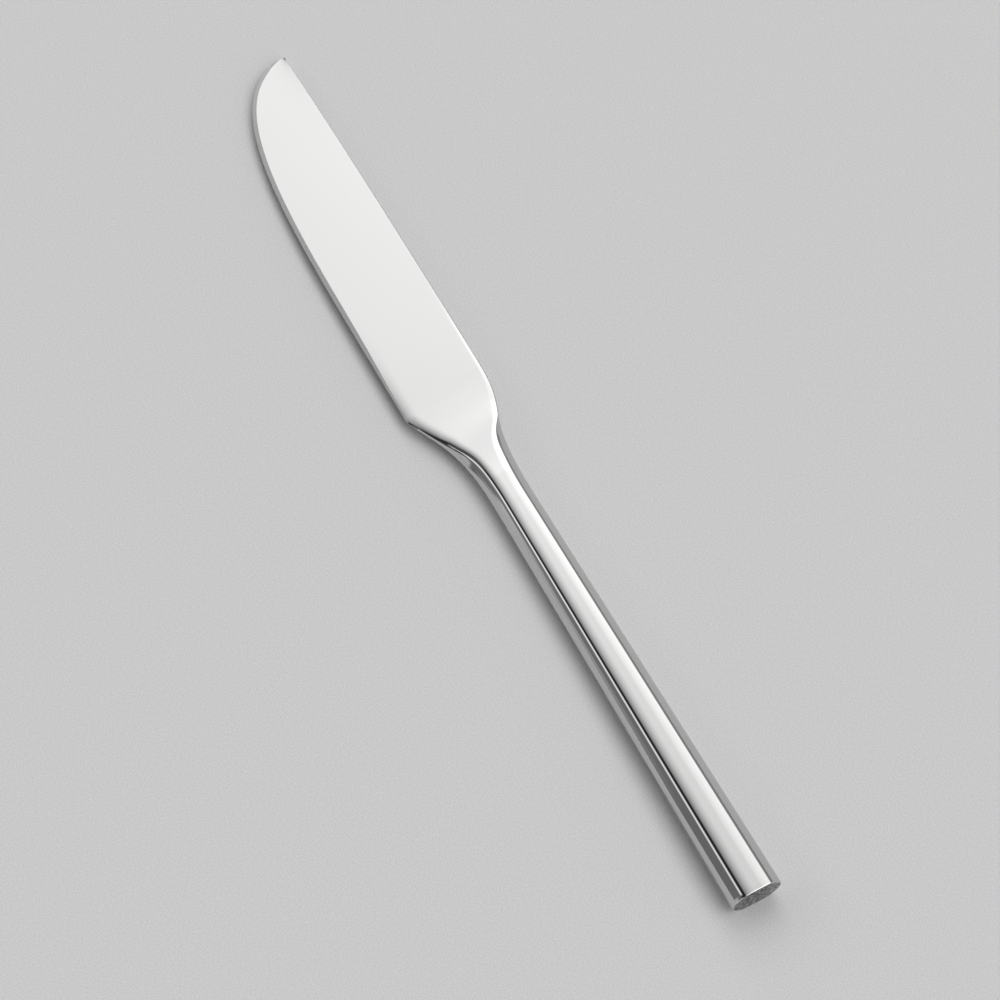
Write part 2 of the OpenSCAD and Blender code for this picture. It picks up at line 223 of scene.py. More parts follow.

# Where in the noise the end face's painted reflection of the shaded floor turns from dark to pale
REFLECTION_SPOT_BORDERS = (0.44, 0.62)
FILLER_ROUGHNESS, FILLER_SPREAD = 0.85, (0.75, 1.3)
FLOOR_ROUGHNESS, FLOOR_SPECULAR, FLOOR_REACH = 0.7, 0.2, 4.0

# The colour sockets of a Mix node, which share their names with its other kinds of socket
MIX_COLOUR_A, MIX_COLOUR_B, MIX_COLOUR_RESULT = 6, 7, 2

# The camera's film and its nearest and farthest reach
FILM_WIDTH, CLIP_START, CLIP_END = 36.0, 0.01, 50.0


def mix(a, b, t):
    """The value at share t of the way from a to b."""
    return a + (b - a) * t


def smooth(t):
    """A step from 0 to 1 that starts and ends level: three t squared less two t cubed."""
    t = np.clip(t, 0.0, 1.0)
    return t * t * (3.0 - 2.0 * t)


def window(t, bounds):
    """The smooth step from the window's start to its end."""
    return smooth((t - bounds[0]) / (bounds[1] - bounds[0]))


def curve(p, t):
    """Points of the cubic curve with four control points, at every t."""
    t = t[:, None]
    s = 1.0 - t
    return p[0] * s**3 + p[1] * 3 * s**2 * t + p[2] * 3 * s * t**2 + p[3] * t**3


def curve_way(p, t):
    """Direction of the same curve, a third of its derivative."""
    t = t[:, None]
    s = 1.0 - t
    return (p[1] - p[0]) * s**2 + (p[2] - p[1]) * 2 * s * t + (p[3] - p[2]) * t**2


def plan_curves(k):
    """Control points of the four curves of the outline, in distances from the butt and from the centre line."""
    slope = (k.waist_w - k.butt_w) / 2 / k.waist_x
    half = k.waist_w / 2
    edge_reach = (k.heel_x - k.waist_x) * NECK_EDGE_REACH
    edge_run = (k.heel_x - k.waist_x) * HEEL_RUN
    spine_reach = (k.shoulder_x - k.waist_x) * NECK_SPINE_REACH
    spine_run = (k.shoulder_x - k.waist_x) * SHOULDER_RUN
    belly_span = k.knife_len - k.belly_x
    blade_span = k.knife_len - k.shoulder_x
    nose = k.tip_off - k.nose_w
    neck_edge = [
        (k.waist_x, half),
        (k.waist_x + edge_reach, half + edge_reach * slope),
        (k.heel_x - edge_run * math.cos(HEEL_ANGLE), k.edge_off - edge_run * math.sin(HEEL_ANGLE)),
        (k.heel_x, k.edge_off),
    ]
    neck_spine = [
        (k.waist_x, -half),
        (k.waist_x + spine_reach, -half - spine_reach * slope),
        (k.shoulder_x - spine_run, -k.spine_off),
        (k.shoulder_x, -k.spine_off),
    ]
    belly = [
        (k.belly_x, k.edge_off),
        (k.belly_x + belly_span * BELLY_REACH, k.edge_off),
        (k.knife_len - belly_span * FRONT_LEAN, -nose + (nose + k.edge_off) * FRONT_RISE),
        (k.knife_len, -nose),
    ]
    spine = [
        (k.shoulder_x, -k.spine_off),
        (k.shoulder_x + blade_span / 3, -k.spine_off),
        (k.knife_len - blade_span / 3, -k.spine_off),
        (k.knife_len - k.nose_w, -k.tip_off),
    ]
    return [np.array(c, float) for c in (neck_edge, neck_spine, belly, spine)]


def plan(k, u):
    """The two ends of each section's chord and the sine of the angle at which it meets the cutting edge.

    u numbers the sections: 0 to 1 over the handle, 1 to 2 over the neck, 2 to 3 over the blade.
    """
    neck_edge, neck_spine, belly, spine = plan_curves(k)
    straight = (k.belly_x - k.heel_x) / (k.knife_len - k.heel_x)
    h = np.clip(u, 0, 1)
    n = np.clip(u - 1, 0, 1)
    v = np.clip(u - 2, 0, 1)
    b = np.clip((v - straight) / (1 - straight), 0, 1)
    half = mix(k.butt_w, k.waist_w, h) / 2
    handle_edge = np.stack([k.waist_x * u, half], 1)
    handle_spine = np.stack([k.waist_x * u, -half], 1)
    line = np.stack([mix(k.heel_x, k.belly_x, v / straight), np.full_like(v, k.edge_off)], 1)
    stretches = [(u <= 1)[:, None], (u <= 2)[:, None], (u <= 2 + straight)[:, None]]
    edge = np.select(stretches, [handle_edge, curve(neck_edge, n), line], curve(belly, b))
    back = np.select(stretches[:2], [handle_spine, curve(neck_spine, n)], curve(spine, v))
    chord = edge - back
    way = np.where(stretches[2], np.array([[1.0, 0.0]]), curve_way(belly, b))
    cross = np.abs(way[:, 0] * chord[:, 1] - way[:, 1] * chord[:, 0])
    cross = cross / np.linalg.norm(way, axis=1) / np.linalg.norm(chord, axis=1)
    return edge, back, cross


def side(w, f, z, a0, a1, rw, r1, turn, r3, inset, least):
    """Points across one side of each section, from its middle to its widest point.

    The face is straight out to f, rolls off as a parabola from the slope a0 to a1 over the width rw, turns round the
    crease r1, goes down the flank, and turns round the narrow edge r3. A flat flank has the slope at which crease and
    edge meet it without a break; a bulged one leaves the crease turn less steep and meets the edge turn steeper, along
    a cubic curve. inset moves every point inwards, square to the surface. Gives distances across and up.
    """
    w, f, z, a0, a1, rw, r1, turn, r3 = (np.asarray(x, float)[:, None] for x in (w, f, z, a0, a1, rw, r1, turn, r3))
    ri, ro, wi = np.maximum(r1 - inset, least), np.maximum(r3 - inset, least), w - inset
    t = np.linspace(0, 1, LEVEL_STEPS + 1)[None, :-1]
    rows = [(f * t - inset * np.sin(a0), z + f * (1 - t) * np.tan(a0) - inset * np.cos(a0))]
    t = np.linspace(0, 1, ROLL_STEPS + 1)[None, :]
    k = mix(np.tan(a0), np.tan(a1), t)
    slope = np.arctan(k)
    rows.append((f + rw * t - inset * np.sin(slope), z - rw * t * (np.tan(a0) + k) / 2 - inset * np.cos(slope)))
    end = (rows[1][0][:, -1:], rows[1][1][:, -1:])
    c = (end[0] - ri * np.sin(a1), end[1] - ri * np.cos(a1))
    a = wi - ro - c[0]
    flat = np.arctan2(c[1], a) + np.arcsin(np.clip((ri - ro) / np.hypot(a, c[1]), -1, 1))
    a2, a3 = flat - turn, np.minimum(math.pi / 2, flat + turn)
    t = mix(a1, a2, np.linspace(0, 1, CREASE_STEPS + 1)[None, 1:])
    rows.append((c[0] + ri * np.sin(t), c[1] + ri * np.cos(t)))
    start = (rows[2][0][:, -1:], rows[2][1][:, -1:])
    stop = (wi - ro + ro * np.sin(a3), ro * np.cos(a3))
    run = np.hypot(stop[0] - start[0], stop[1] - start[1])
    t = np.linspace(0, 1, FLANK_STEPS + 1)[None, 1:-1]
    blend = t * t * (3 - 2 * t)
    leave, arrive = t * (1 - t) ** 2 * run, t * t * (t - 1) * run
    rows.append((
        mix(start[0], stop[0], blend) + leave * np.cos(a2) + arrive * np.cos(a3),
        mix(start[1], stop[1], blend) - leave * np.sin(a2) - arrive * np.sin(a3),
    ))
    t = mix(a3, math.pi / 2, np.linspace(0, 1, EDGE_STEPS + 1)[None, :])
    rows.append((wi - ro + ro * np.sin(t), ro * np.cos(t)))
    return np.concatenate([r[0] for r in rows], 1), np.concatenate([r[1] for r in rows], 1)


def neck_side(k, drop, lean):
    """Radius of the neck's crease and width of its side, for each section, on the cutting edge's side.

    The side comes down by drop. It turns round the crease from the slope lean to the flank's, goes straight down the
    flank, and turns round the narrow edge. The crease is smaller where it would take too much of the drop.
    """
    fall = np.cos(lean) - math.cos(k.neck_flank)
    crease = np.maximum(np.minimum(k.neck_crease_r, CREASE_SHARE * drop / fall), k.cut_r)
    rounds = crease * (math.sin(k.neck_flank) - np.sin(lean)) + k.neck_edge_r * (1 - math.sin(k.neck_flank))
    return crease, rounds + np.maximum(0, drop - crease * fall) / math.tan(k.neck_flank)


def sections(k, u, inset=0.0):
    """Upper outline of every section, from the cutting edge's side over the top to the spine's.

    Each point has its distance from the butt, its distance from the centre line and its height over the middle plane.
    In the names below e stands for the cutting edge's side and s for the spine's: we is the side's width and he its
    height at the border, ae the slope where its roll ends, re1 and re3 the radii of its crease and its narrow edge, ge
    and de the widths past the crease and up to it, and rwe and fe the widths of its roll and its level.
    """
    u = np.atleast_1d(np.asarray(u, float))
    inset = np.broadcast_to(np.asarray(inset, float), u.shape)[:, None]
    edge, back, cross = plan(k, u)
    n, v, h = u - 1, np.maximum(0, u - 2), np.minimum(1, u)
    chord = edge - back
    span = np.linalg.norm(chord, axis=1)
    centre = k.spine_off / (k.spine_off + k.edge_off)
    part = np.where(u <= 2, -back[:, 1] / chord[:, 1], centre)
    we, ws = span * (1 - part), span * part
    roll = k.roll_angle * (1 - window(n, ROLL_WINDOW))
    taper = (k.butt_t - k.waist_t) / 2 / k.waist_x
    face = k.butt_t / 2 - taper * np.maximum(edge[:, 0], back[:, 0])
    core = mix(face, k.heel_t / 2, window(n, THIN_WINDOW))
    he = mix(mix(core, k.edge_t / 2, window(n, WEDGE_WINDOW)), k.edge_tip_t / 2, v)
    hs = mix(core, k.tip_t / 2, v)
    crease = mix(k.butt_crease_r, k.waist_crease_r, h)
    narrow = mix(k.butt_edge_r, k.waist_edge_r, h)
    depth = (mix(k.butt_w, k.waist_w, h) - mix(k.butt_face_w, k.waist_face_w, h)) / 2
    roll_w = mix(k.butt_roll_w, k.waist_roll_w, h)
    roll_e = roll_w * mix(1, ROLL_GROWN, window(n, ROLL_GROW_WINDOW))
    roll_s = roll_w * mix(1, ROLL_LEFT, window(n, ROLL_FADE_WINDOW))
    turn = mix(k.butt_flank_turn, k.waist_flank_turn, h)
    # The face between the two sides leans from the spine's height to the edge's
    tilt = np.arctan((hs - he) / span)
    middle = mix(hs, he, part)
    ae, a_s = roll + tilt, roll - tilt
    # The cutting edge's side: the handle's, then the neck's, then the bevel
    drop = he - roll_e * np.tan(roll) / 2 - k.neck_edge_r * math.cos(k.neck_flank)
    neck_crease, neck_w = neck_side(k, drop, ae)
    thin, ground = window(n, EDGE_SIDE_WINDOW), window(n, BEVEL_WINDOW)
    bevel = mix(k.bevel_heel_w, k.bevel_w, smooth(v / BEVEL_OPEN))
    bevel = bevel * mix(1, BEVEL_LEFT, window(v, BEVEL_FADE_WINDOW)) / cross
    ge = np.minimum(mix(mix(depth, neck_w, thin), bevel, ground), we * BEVEL_LIMIT)
    re1 = np.minimum(mix(mix(crease, neck_crease, thin), k.cut_r, ground), we * EDGE_ROUND_LIMIT)
    re3 = np.minimum(mix(mix(narrow, k.neck_edge_r, thin), k.cut_r, ground), we * EDGE_ROUND_LIMIT)
    # The spine's side: the handle's, then a square corner
    square = window(n, SPINE_CORNER_WINDOW)
    rs1 = np.minimum(mix(crease, k.spine_r, square), ws * ROUND_LIMIT)
    rs3 = mix(narrow, rs1, square)
    gs = mix(depth, rs1, square)
    de, ds = we - np.maximum(ge, re1 * (1 - np.sin(ae))), ws - np.maximum(gs, rs1 * (1 - np.sin(a_s)))
    rwe, rws = np.minimum(roll_e, de * ROLL_LIMIT), np.minimum(roll_s, ds * ROLL_LIMIT)
    fe, fs = de - rwe, ds - rws
    least = k.least_r * (inset > 0)
    right = side(we, fe, middle - fe * np.tan(tilt), tilt, ae, rwe, re1, turn * (1 - thin), re3, inset, least)
    left = side(ws, fs, middle + fs * np.tan(tilt), -tilt, a_s, rws, rs1, turn * (1 - square), rs3, inset, least)
    across = np.concatenate([right[0][:, ::-1], -left[0][:, 1:]], 1)
    up = np.concatenate([right[1][:, ::-1], left[1][:, 1:]], 1)
    way = chord / span[:, None]
    origin = mix(back, edge, part[:, None])
    plane = origin[:, None, :] + way[:, None, :] * across[:, :, None]
    return np.concatenate([plane, up[:, :, None]], 2)


def tang_outline(k, x):
    """Upper outline of the tang's round-cornered section at each x, with the points of a whole section."""
    x = np.atleast_1d(np.asarray(x, float))
    one, zero = np.ones_like(x), np.zeros_like(x)
    w, h, r = k.tang_w / 2, k.tang_t / 2, k.tang_corner_r
    level = one * (w - r) / 2
    across, up = side(one * w, level, one * h, zero, zero, level, one * r, zero, one * r, 0.0, 0.0)
    across = np.concatenate([across[:, ::-1], -across[:, 1:]], 1)
    up = np.concatenate([up[:, ::-1], up[:, 1:]], 1)
    return np.stack([np.broadcast_to(x[:, None], across.shape), across, up], 2)


def laid(k, points):
    """Points in the knife's own frame, as it lies: heights ride on the middle plane, which falls towards the tip."""
    taper = (k.butt_t - k.waist_t) / 2 / k.waist_x
    fall = min(taper, (k.butt_t / 2 - k.tip_t / 2 - k.tip_gap) / k.knife_len)
    out = points.copy()
    out[..., 2] += k.butt_t / 2 - fall * points[..., 0]
    out[..., 0] -= k.knife_len / 2
    out[..., 1] -= (k.edge_off - k.spine_off) / 2
    return out


def rings(k, upper):
    """Whole outlines: the upper one, and back along its mirror image without the two shared points."""
    below = upper[:, -2:0:-1] * np.array([1.0, 1.0, -1.0])
    return laid(k, np.concatenate([upper, below], 1))


def loft_faces(rows, count, looped=False, folded=False):
    """Four-cornered faces between rows of count points each, with every row closed on itself.

    looped joins the last row to the first. folded closes each end by a strip between a row's outer half and its inner
    half, and otherwise each end gets one flat face. Gives a list of index arrays.
    """
    row, point = np.meshgrid(np.arange(rows if looped else rows - 1), np.arange(count), indexing="ij")
    this, after = row * count, (row + 1) % rows * count
    beside = (point + 1) % count
    quads = np.stack([this + point, this + beside, after + beside, after + point], 2).reshape(-1, 4)
    if looped:
        return [quads]
    last = (rows - 1) * count
    if folded:
        a = np.arange(count // 2 - 1)
        strip = np.stack([a, count - 1 - a, count - 2 - a, a + 1], 1)
        return [quads, strip, last + strip[:, ::-1]]
    return [quads, np.arange(count)[None, ::-1], last + np.arange(count)[None]]


def build_mesh(name, parts, marks=None):
    """A mesh from parts, each an array of points and its list of face arrays. marks is one number for each point."""
    points, faces, base = [], [], 0
    for grid, groups in parts:
        points.append(grid.reshape(-1, 3))
        for group in groups:
            faces.extend((group + base).tolist())
        base += len(points[-1])
    mesh = bpy.data.meshes.new(name)
    mesh.from_pydata(np.concatenate(points).tolist(), [], faces)
    mesh.validate(clean_customdata=False)
    if marks is not None:
        mesh.attributes.new(MARK, "FLOAT", "POINT").data.foreach_set("value", marks.reshape(-1).astype(np.float32))
    mesh.shade_smooth()
    mesh.set_sharp_from_angle(angle=SHARP_ANGLE)
    mesh.update()
    return mesh


def add_piece(name, mesh, material, node):
    """Puts a piece in the scene in place of a CAD node, riding on the knife's one body."""
    piece = bpy.data.objects.new(name, mesh)
    bpy.context.scene.collection.objects.link(piece)
    mesh.materials.append(material)
    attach(piece, BODY)
    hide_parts(node)


def new_material(name):
    """A node material and its shader, or the material of that name and None where it is already there."""
    material = bpy.data.materials.get(name)
    if material:
        return material, None
    material = bpy.data.materials.new(name)
    material.use_nodes = True
    return material, material.node_tree.nodes["Principled BSDF"]


def link(owner, a, b):
    """Joins two sockets of a material or of the world."""
    owner.node_tree.links.new(a, b)


def add_node(owner, kind, **values):
    """A shader node with its properties, or its inputs where the name is an input's."""
    node = owner.node_tree.nodes.new(kind)
    for key, value in values.items():
        if key in node.inputs:
            node.inputs[key].default_value = value
        else:
            setattr(node, key, value)
    return node


def maths(owner, operation, a, b):
    """The result of an operation on two values, each a socket or a plain number."""
    node = add_node(owner, "ShaderNodeMath", operation=operation)
    for socket, value in zip(node.inputs, (a, b)):
        if isinstance(value, float):
            socket.default_value = value
        else:
            link(owner, value, socket)
    return node.outputs["Value"]


def stretched_noise(material, pattern):
    """Noise over the object's own coordinates, stretched by a scale for each axis."""
    scale, detail = pattern
    where = add_node(material, "ShaderNodeTexCoord")
    mapping = add_node(material, "ShaderNodeMapping", Scale=scale)
    noise = add_node(material, "ShaderNodeTexNoise", Scale=1.0, Detail=detail)
    link(material, where.outputs["Object"], mapping.inputs["Vector"])
    link(material, mapping.outputs["Vector"], noise.inputs["Vector"])
    return noise.outputs["Fac"]


def remap(owner, value, low, high, from_low=NOISE_LOW, from_high=NOISE_HIGH):
    """Maps a value to the range from low to high."""
    node = add_node(owner, "ShaderNodeMapRange")
    node.inputs["From Min"].default_value = from_low
    node.inputs["From Max"].default_value = from_high
    node.inputs["To Min"].default_value = low
    node.inputs["To Max"].default_value = high
    link(owner, value, node.inputs["Value"])
    return node.outputs["Result"]


def colour_ramp(material, value, dark, pale, borders=(0.0, 1.0)):
    """A colour that goes from dark to pale while the value goes from the first border to the second."""
    ramp = add_node(material, "ShaderNodeValToRGB")
    for element, border, colour in zip(ramp.color_ramp.elements, borders, (dark, pale)):
        element.position = border
        element.color = (*colour, 1.0)
    link(material, value, ramp.inputs["Fac"])
    return ramp.outputs["Color"]


def shaded(colour, factor):
    """The colour times a factor, held to 1."""
    return [min(1.0, c * factor) for c in colour]


def rough_between(material, pattern, roughness):
    """Roughness that a pattern spreads around one value."""
    low, high = GLOSS_SPREAD
    return remap(material, pattern, roughness * low, roughness * high)


def scored(material, mark, roughness, normal, finish):
    """Roughness and normal of the ground bevel where the mark is set: dull, with fine lines scored across it."""
    lines = stretched_noise(material, SCORES)
    blend = add_node(material, "ShaderNodeMix", data_type="FLOAT")
    link(material, mark, blend.inputs["Factor"])
    link(material, roughness, blend.inputs["A"])
    link(material, rough_between(material, lines, finish.ground), blend.inputs["B"])
    bump = add_node(material, "ShaderNodeBump", Strength=SCORE_STRENGTH, Distance=SCORE_DEPTH)
    link(material, maths(material, "MULTIPLY", lines, mark), bump.inputs["Height"])
    link(material, normal, bump.inputs["Normal"])
    return blend.outputs["Result"], bump.outputs["Normal"]


def painted_reflection_colour(material, mark, finish):
    """Colour of the butt's end face where the mark is set: dark and pale spots, a painted reflection of the shaded
    floor.
    """
    spots = colour_ramp(material, stretched_noise(material, REFLECTION_SPOTS), finish.end_reflection_dark, finish.end_reflection_pale, REFLECTION_SPOT_BORDERS)
    colour = add_node(material, "ShaderNodeMix", data_type="RGBA")
    colour.inputs[MIX_COLOUR_A].default_value = (*finish.steel, 1.0)
    link(material, mark, colour.inputs["Factor"])
    link(material, spots, colour.inputs[MIX_COLOUR_B])
    return colour.outputs[MIX_COLOUR_RESULT]


def polished_steel(name, finish, ground=False, mottled=False):
    """Mirror-polished stainless steel: slight ripples from the wheel, and hairlines and clouds in its gloss.

    Where the mark is set, ground gives it scored lines and less gloss, and mottled paints the shaded floor's reflection
    into its colour.
    """
    material, shader = new_material(name)
    if shader is None:
        return material
    shader.inputs["Base Color"].default_value = (*finish.steel, 1.0)
    shader.inputs["Metallic"].default_value = 1.0
    gloss = rough_between(material, stretched_noise(material, HAIRLINES), finish.polish)
    clouds = remap(material, stretched_noise(material, CLOUDS), *CLOUD_SPREAD)
    roughness = maths(material, "MULTIPLY", gloss, clouds)
    bump = add_node(material, "ShaderNodeBump", Strength=1.0, Distance=finish.ripple)
    link(material, stretched_noise(material, RIPPLES), bump.inputs["Height"])
    normal = bump.outputs["Normal"]
    if ground or mottled:
        mark = add_node(material, "ShaderNodeAttribute", attribute_name=MARK).outputs["Fac"]
    if ground:
        roughness, normal = scored(material, mark, roughness, normal, finish)
    # The end face's colour is a painted reflection of the floor in the shade below the butt
    if mottled:
        link(material, painted_reflection_colour(material, mark, finish), shader.inputs["Base Color"])
    link(material, roughness, shader.inputs["Roughness"])
    link(material, normal, shader.inputs["Normal"])
    return material


def hard_filler(name, finish):
    """Hard mineral filler inside the handle: a fine speckle over one dull colour."""
    material, shader = new_material(name)
    if shader is None:
        return material
    shader.inputs["Roughness"].default_value = FILLER_ROUGHNESS
    dark, pale = (shaded(finish.filler, factor) for factor in FILLER_SPREAD)
    speckle = colour_ramp(material, stretched_noise(material, SPECKLE), dark, pale)
    link(material, speckle, shader.inputs["Base Color"])
    return material


def pale_floor(name, studio):
    """Matt floor: a fine grain over one pale colour."""
    material, shader = new_material(name)
    if shader is None:
        return material
    shader.inputs["Roughness"].default_value = FLOOR_ROUGHNESS
    shader.inputs["Specular IOR Level"].default_value = FLOOR_SPECULAR
    dark, pale = (shaded(studio.floor, factor) for factor in (1 - studio.grain, 1 + studio.grain))
    grain = colour_ramp(material, stretched_noise(material, FLOOR_GRAIN), dark, pale, (NOISE_LOW, NOISE_HIGH))
    link(material, grain, shader.inputs["Base Color"])
    return material


class KNIFE_OT_blade(bpy.types.Operator):
    """Build the blade with its neck, spigot and tang"""

    bl_idname = "knife.blade"
    bl_label = "Blade"
    bl_options = {"REGISTER", "UNDO"}

    def execute(self, context):
        k, finish = context.scene.knife_sizes, context.scene.knife_finish
        spigot_end = k.waist_x - k.neck_braze_t - k.spigot_len
        tang_end = spigot_end - k.tang_len
        hidden = np.concatenate([
            tang_outline(k, [tang_end, spigot_end]),
            sections(k, [spigot_end / k.waist_x, 1.0], k.shell_wall + k.fit_gap),
        ])
        u = np.concatenate([1 + np.linspace(0, 1, NECK_STEPS + 1), 2 + np.linspace(0, 1, BLADE_STEPS + 1)[1:]])
        upper = np.concatenate([hidden, sections(k, u)])
        whole = rings(k, upper)
        # The bevel is the flat and the round beyond the crease on the cutting edge's side
        across = np.zeros(upper.shape[1])
        across[: EDGE_STEPS + FLANK_STEPS + CREASE_STEPS // 2] = 1.0
        along = np.concatenate([np.zeros(len(hidden)), window(u - 1, BEVEL_FINISH_WINDOW)])
        marks = along[:, None] * across[None, :]
        marks = np.concatenate([marks, marks[:, -2:0:-1]], 1)
        mesh = build_mesh("knife_blade", [(whole, loft_faces(*whole.shape[:2]))], marks)
        add_piece("knife_blade", mesh, polished_steel("blade polish", finish, ground=True), "blade")
        return {"FINISHED"}


class KNIFE_OT_shells(bpy.types.Operator):
    """Build the two half shells of the handle"""

    bl_idname = "knife.shells"
    bl_label = "Handle shells"
    bl_options = {"REGISTER", "UNDO"}

    def execute(self, context):
        k, finish = context.scene.knife_sizes, context.scene.knife_finish
        x = np.linspace(k.cap_t, k.waist_x - k.neck_braze_t, HANDLE_STEPS + 1)
        outer, inner = sections(k, x / k.waist_x), sections(k, x / k.waist_x, k.shell_wall)
        steel = polished_steel("handle polish", finish)
        for name, node, way in (("upper_shell", "upper_handle_shell", 1), ("lower_shell", "lower_handle_shell", -1)):
            rows = np.concatenate([outer, inner[:, ::-1]], 1)
            rows[..., 2] = way * np.maximum(rows[..., 2], k.seam_braze_t / 2)
            rows = laid(k, rows if way > 0 else rows[:, ::-1])
            mesh = build_mesh(name, [(rows, loft_faces(*rows.shape[:2], folded=True))])
            add_piece(name, mesh, steel, node)
        return {"FINISHED"}


class KNIFE_OT_butt_cap(bpy.types.Operator):
    """Build the cap that closes the butt, with its rounded rim and its plug"""

    bl_idname = "knife.butt_cap"
    bl_label = "Butt cap"
    bl_options = {"REGISTER", "UNDO"}

    def execute(self, context):
        k, finish = context.scene.knife_sizes, context.scene.knife_finish
        t = np.linspace(0, math.pi / 2, RIM_STEPS + 1)
        rim_x, rim_inset = k.cap_rim * (1 - np.cos(t)), k.cap_rim * (1 - np.sin(t))
        plug, inset = k.cap_t + k.cap_plug, k.shell_wall + k.fit_gap
        x = np.concatenate([rim_x, [k.cap_t, k.cap_t, plug]])
        upper = sections(k, x / k.waist_x, np.concatenate([rim_inset, [0, inset, inset]]))
        whole = rings(k, upper)
        # The end face carries the mark, and there the cap's colour is a painted reflection of the shaded floor
        marks = np.zeros(whole.shape[:2])
        marks[0] = 1.0
        mesh = build_mesh("end_cap", [(whole, loft_faces(*whole.shape[:2]))], marks)
        add_piece("end_cap", mesh, polished_steel("cap polish with painted reflection", finish, mottled=True), "butt_cap")
        return {"FINISHED"}


class KNIFE_OT_brazes(bpy.types.Operator):
    """Build the brazed joints at the neck and along the shells' edges"""

    bl_idname = "knife.brazes"
    bl_label = "Brazed joints"
    bl_options = {"REGISTER", "UNDO"}

    def execute(self, context):
        k, finish = context.scene.knife_sizes, context.scene.knife_finish
        steel = polished_steel("handle polish", finish)
        start = k.waist_x - k.neck_braze_t
        wall = k.shell_wall
        loop = sections(k, np.array([start, k.waist_x, k.waist_x, start]) / k.waist_x, [0, 0, wall, wall])
        whole = rings(k, loop)
        mesh = build_mesh("neck_joint", [(whole, loft_faces(*whole.shape[:2], looped=True))])
        add_piece("neck_joint", mesh, steel, "neck_braze")
        x = np.linspace(k.cap_t, start, HANDLE_STEPS + 1)
        outer, half = sections(k, x / k.waist_x), k.seam_braze_t / 2
        parts = []
        for index, way in ((0, 1), (-1, -1)):
            y = outer[:, index, 1]
            corners = ((y, half), (y - way * wall, half), (y - way * wall, -half), (y, -half))
            row = np.stack([np.stack([x, side_y, np.full_like(x, z)], 1) for side_y, z in corners], 1)
            row = laid(k, row if way > 0 else row[:, ::-1])
            parts.append((row, loft_faces(*row.shape[:2])))
        add_piece("seam_joint", build_mesh("seam_joint", parts), steel, "seam_braze")
        return {"FINISHED"}


class KNIFE_OT_filler(bpy.types.Operator):
    """Give the filler inside the handle its material"""

    bl_idname = "knife.filler"
    bl_label = "Handle filler"
    bl_options = {"REGISTER", "UNDO"}

    def execute(self, context):
        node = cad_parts["handle_filler"]
        filler = hard_filler("hard filler", context.scene.knife_finish)
        node.data.materials.clear()
        node.data.materials.append(filler)
        return {"FINISHED"}


# The studio's lights. Each is two lists of stops, whose values are multiplied: round the knife's axis, by the degrees
# from straight up towards the spine's side, and along it, by the sine of the angle from the cross plane to the tip

# The sky: dark over the cutting edge's side, and brightest over the spine's side, behind the butt and ahead of the tip
SKY_ROUND = (
    (-180, 0.5), (-108, 0.3), (-92, 0.17), (-71, 0.17), (-60, 0.04), (-12, 0.02), (-10, 0.11), (-7, 0.29),
    (-5, 0.365), (-3, 0.43), (-1, 0.505), (1, 0.575), (3, 0.633), (5, 0.69), (7, 0.74), (9, 0.775), (11, 0.81),
    (13, 0.85), (15, 0.945), (17, 1.02), (22, 1.085), (26, 1.15), (30, 1.2), (40, 1.25), (46, 0.5), (51, 0.25),
    (75, 0.26), (95, 0.3), (110, 0.4), (180, 0.5),
)
SKY_ALONG = (
    (-1.0, 1.4), (-0.5, 1.7), (-0.25, 1.5), (-0.1, 0.95), (0.29, 0.96), (0.4, 1.13), (0.43, 1.21), (0.455, 1.37),
    (0.475, 1.4), (0.53, 1.4), (0.8, 1.35), (1.0, 1.1),
)
# The strip light that draws the bright line along the crease
STRIP_ROUND = ((-180, 0.0), (-71, 0.0), (-66, 0.3), (-60, 0.88), (-48, 0.9), (-42, 0.33), (-37, 0.0), (180, 0.0))
STRIP_ALONG = ((-1.0, 0.0), (0.23, 0.0), (0.28, 0.96), (0.4, 1.13), (0.475, 1.4), (0.8, 1.35), (1.0, 1.1))
# Low lights on the cutting edge's side: along the flank, at the waist and ahead of the tip
FLANK_ROUND = ((-180, 0.0), (-96, 0.0), (-90, 1.0), (-84, 1.0), (-80, 0.0), (180, 0.0))
FLANK_ALONG = ((-1.0, 0.3), (0.25, 0.3), (0.29, 0.0), (0.32, 0.0), (0.35, 0.09), (0.38, 0.2), (0.42, 0.31), (1.0, 0.31))
WAIST_ROUND = ((-180, 0.0), (-84, 0.0), (-81, 1.0), (-78, 1.0), (-75, 0.0), (180, 0.0))
WAIST_ALONG = ((-1.0, 0.3), (0.25, 0.3), (0.29, 0.0), (0.39, 0.0), (0.42, 0.31), (1.0, 0.31))
FRONT_ROUND = ((-180, 0.0), (-42, 0.0), (-34, 1.0), (-20, 1.0), (-13, 0.0), (180, 0.0))
FRONT_ALONG = ((-1.0, 0.0), (0.45, 0.0), (0.5, 0.14), (0.6, 0.14), (0.75, 0.8), (1.0, 0.8))
LIGHTS = (
    (SKY_ROUND, SKY_ALONG),
    (STRIP_ROUND, STRIP_ALONG),
    (FLANK_ROUND, FLANK_ALONG),
    (WAIST_ROUND, WAIST_ALONG),
    (FRONT_ROUND, FRONT_ALONG),
)

# A ramp holds no value over 1, so each stop's is divided by this, and the product of two is multiplied by it twice
LIGHT_SCALE = 2.0

# The stops' places run from minus this to this: in degrees round the axis, and as a sine along it
ROUND_REACH, ALONG_REACH = 180.0, 1.0


def light_ramp(world, place, stops, reach):
    """A light's value over LIGHT_SCALE at a place from 0 to 1, which stands for -reach to reach."""
    node = add_node(world, "ShaderNodeValToRGB")
    elements = node.color_ramp.elements
    # A new stop may start anywhere, because its place is set below
    while len(elements) < len(stops):
        elements.new(0.5)
    for element, (where, _) in zip(elements, stops):
        element.position = (where + reach) / (2 * reach)
    for element, (_, value) in zip(elements, stops):
        element.color = (*([value / LIGHT_SCALE] * 3), 1.0)
    link(world, place, node.inputs["Fac"])
    return node.outputs["Color"]


